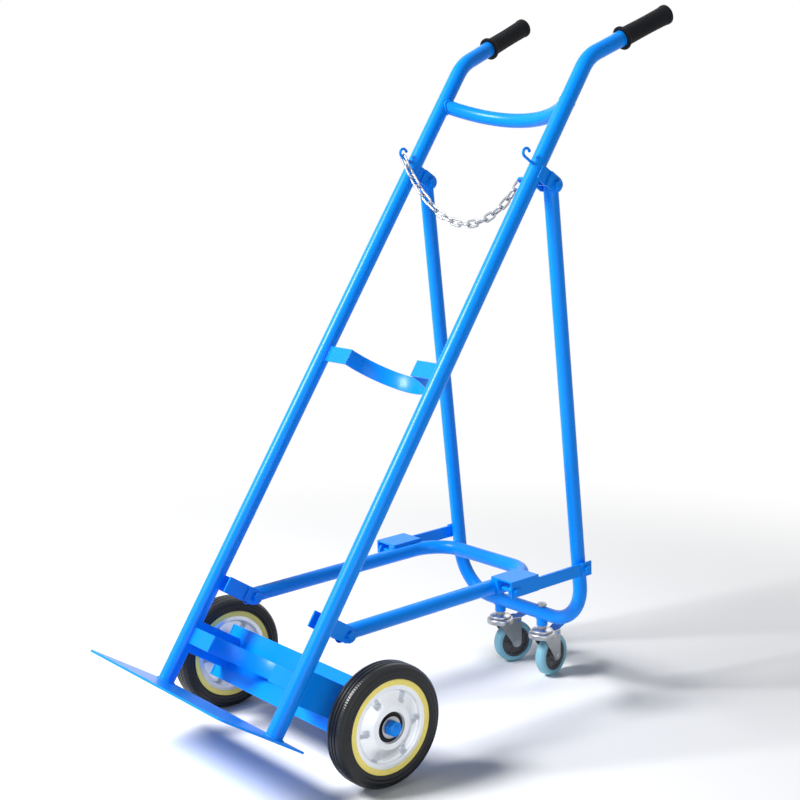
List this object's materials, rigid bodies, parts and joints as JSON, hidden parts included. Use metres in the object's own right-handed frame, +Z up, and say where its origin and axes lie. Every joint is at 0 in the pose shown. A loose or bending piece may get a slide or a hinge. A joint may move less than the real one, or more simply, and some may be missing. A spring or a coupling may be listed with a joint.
{
  "type": "gas cylinder trolley",
  "caption": "Two-wheeled trolley for an upright gas cylinder, with bent tube rails, a toe plate, a safety chain and a folding rear leg frame on braked swivel casters.",
  "frame": {"origin": "on the floor, at the middle of the trolley's plan", "axes": "+Z up, -Y towards the toe plate, +Y towards the handles, +X to the right-hand side seen from the front"},
  "size_m": [0.6472, 1.2105, 1.5319],
  "materials": {
    "blue_paint": "gloss",
    "zinc": "bright zinc",
    "cast_hub": "cast",
    "yellow_band": "satin",
    "tyre": "matte",
    "bearing": "dark seal",
    "grip": "matte",
    "caster_core": "matte",
    "caster_tread": "satin"
  },
  "bodies": {
    "frame": {"left_rail": "blue_paint", "right_rail": "blue_paint", "top_cross_bar": "blue_paint", "upper_saddle": "blue_paint", "lower_saddle": "blue_paint", "toe_plate": "blue_paint", "axle_plate": "blue_paint", "left_axle_bracket": "blue_paint", "right_axle_bracket": "blue_paint", "axle": "zinc", "axle_spacers": "zinc", "axle_washers": "zinc", "axle_nuts": "blue_paint", "left_grip": "grip", "right_grip": "grip", "left_hook": "blue_paint", "right_hook": "blue_paint", "chain_eye": "blue_paint", "left_leg_clevis": "blue_paint", "right_leg_clevis": "blue_paint", "left_brace_clevis": "blue_paint", "right_brace_clevis": "blue_paint", "leg_pivot_bolts": "blue_paint", "brace_pivot_bolts": "blue_paint"},
    "left_wheel": {"left_hub": "cast_hub", "left_band": "yellow_band", "left_tyre": "tyre", "left_bearings": "bearing"},
    "right_wheel": {"right_hub": "cast_hub", "right_band": "yellow_band", "right_tyre": "tyre", "right_bearings": "bearing"},
    "leg": {"leg_frame": "blue_paint", "left_caster_socket": "blue_paint", "right_caster_socket": "blue_paint", "left_caster_stem": "zinc", "right_caster_stem": "zinc"},
    "brace": {"brace_bow": "blue_paint", "left_knee_bracket": "blue_paint", "right_knee_bracket": "blue_paint", "knee_bolts": "blue_paint"},
    "links": {"left_link": "blue_paint", "right_link": "blue_paint", "link_rivets": "blue_paint"},
    "left_caster": {"left_caster_fork": "zinc", "left_caster_axle": "zinc"},
    "left_caster_roller": {"left_caster_wheel": "caster_core", "left_caster_tread": "caster_tread"},
    "left_brake": {"left_brake_pedal": "blue_paint"},
    "right_caster": {"right_caster_fork": "zinc", "right_caster_axle": "zinc"},
    "right_caster_roller": {"right_caster_wheel": "caster_core", "right_caster_tread": "caster_tread"},
    "right_brake": {"right_brake_pedal": "blue_paint"},
    "chain": {"chain": "zinc"}
  },
  "joints": [
    {"name": "left_wheel_spin", "type": "hinge", "parent": "frame", "child": "left_wheel", "pos_m": [0, -0.25834, 0.125], "axis": [1, 0, 0], "continuous": true},
    {"name": "right_wheel_spin", "type": "hinge", "parent": "frame", "child": "right_wheel", "pos_m": [0, -0.25834, 0.125], "axis": [1, 0, 0], "continuous": true},
    {"name": "leg_fold", "type": "hinge", "parent": "frame", "child": "leg", "pos_m": [0, 0.26547, 1.15009], "axis": [-1, 0, 0], "range_deg": [0, 23.14]},
    {"name": "brace_fold", "type": "hinge", "parent": "frame", "child": "brace", "pos_m": [0, -0.26411, 0.28137], "axis": [1, 0, 0], "range_deg": [0, 39.74]},
    {"name": "link_fold", "type": "hinge", "parent": "brace", "child": "links", "pos_m": [0, 0.14065, 0.2955], "axis": [-1, 0, 0], "range_deg": [0, 137.25]},
    {"name": "left_caster_swivel", "type": "hinge", "parent": "leg", "child": "left_caster", "pos_m": [-0.072, 0.37303, 0.12], "axis": [0, 0, 1], "continuous": true},
    {"name": "left_caster_spin", "type": "hinge", "parent": "left_caster", "child": "left_caster_roller", "pos_m": [-0.06329, 0.40796, 0.05], "axis": [0.9703, -0.2419, 0], "continuous": true},
    {"name": "left_brake_press", "type": "hinge", "parent": "left_caster", "child": "left_brake", "pos_m": [-0.06232, 0.41184, 0.104], "axis": [-0.9703, 0.2419, 0], "range_deg": [0, 14]},
    {"name": "right_caster_swivel", "type": "hinge", "parent": "leg", "child": "right_caster", "pos_m": [0.072, 0.37303, 0.12], "axis": [0, 0, 1], "continuous": true},
    {"name": "right_caster_spin", "type": "hinge", "parent": "right_caster", "child": "right_caster_roller", "pos_m": [0.06637, 0.40858, 0.05], "axis": [0.9877, 0.1564, 0], "continuous": true},
    {"name": "right_brake_press", "type": "hinge", "parent": "right_caster", "child": "right_brake", "pos_m": [0.06574, 0.41254, 0.104], "axis": [-0.9877, -0.1564, 0], "range_deg": [0, 14]},
    {"name": "chain_swing", "type": "hinge", "parent": "frame", "child": "chain", "pos_m": [-0.2025, 0.19837, 1.20559], "axis": [0.9913, 0.0283, -0.1289], "range_deg": [-40, 0]}
  ],
  "couplings": [
    {"joint": "brace_fold", "follows": "leg_fold", "ratio": 1.7176},
    {"joint": "link_fold", "follows": "leg_fold", "ratio": 5.9313}
  ]
}
